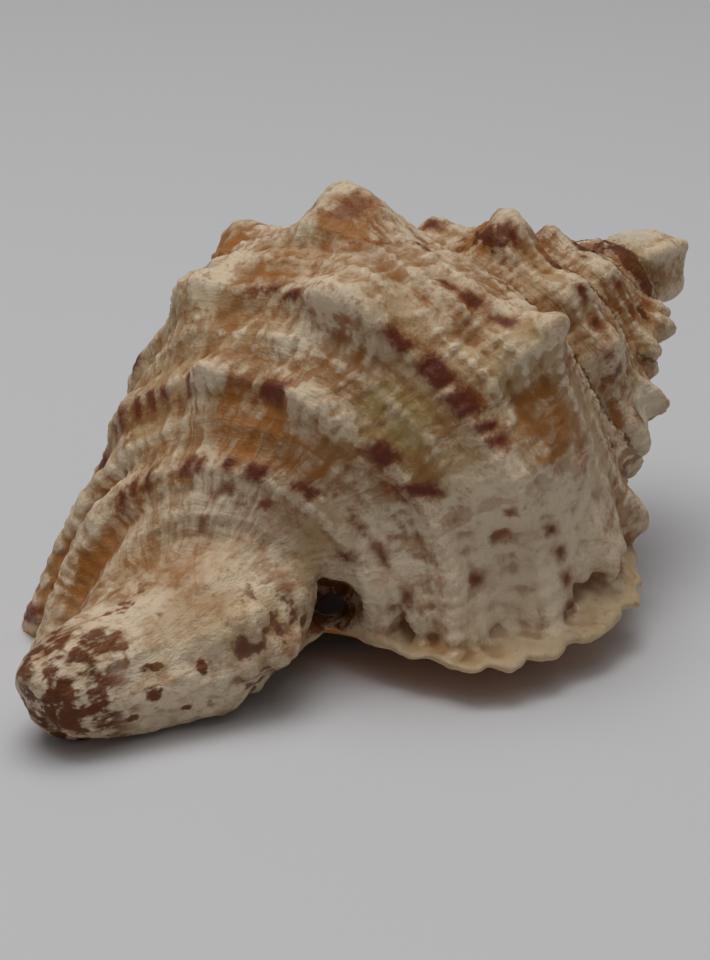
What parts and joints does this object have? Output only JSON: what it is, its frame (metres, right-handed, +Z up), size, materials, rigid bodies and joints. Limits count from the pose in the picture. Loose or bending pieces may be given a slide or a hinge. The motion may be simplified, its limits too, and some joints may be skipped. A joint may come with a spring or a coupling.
{
  "type": "murex shell",
  "caption": "Large knobbed sea shell of the murex kind, a display piece that rests mouth down on a table or shelf.",
  "frame": {"origin": "centre of the shell's bounding box, on the table plane it rests on", "axes": "+Z up from the table, +X towards the pointed apex, -X towards the canal, +Y towards the outer lip"},
  "size_m": [0.1638, 0.0996, 0.0835],
  "materials": {
    "shell": "natural cream shell, satin, with red-brown spots along its cords and a glazed orange mouth"
  },
  "bodies": {
    "root": {"shell": "shell"}
  },
  "joints": []
}
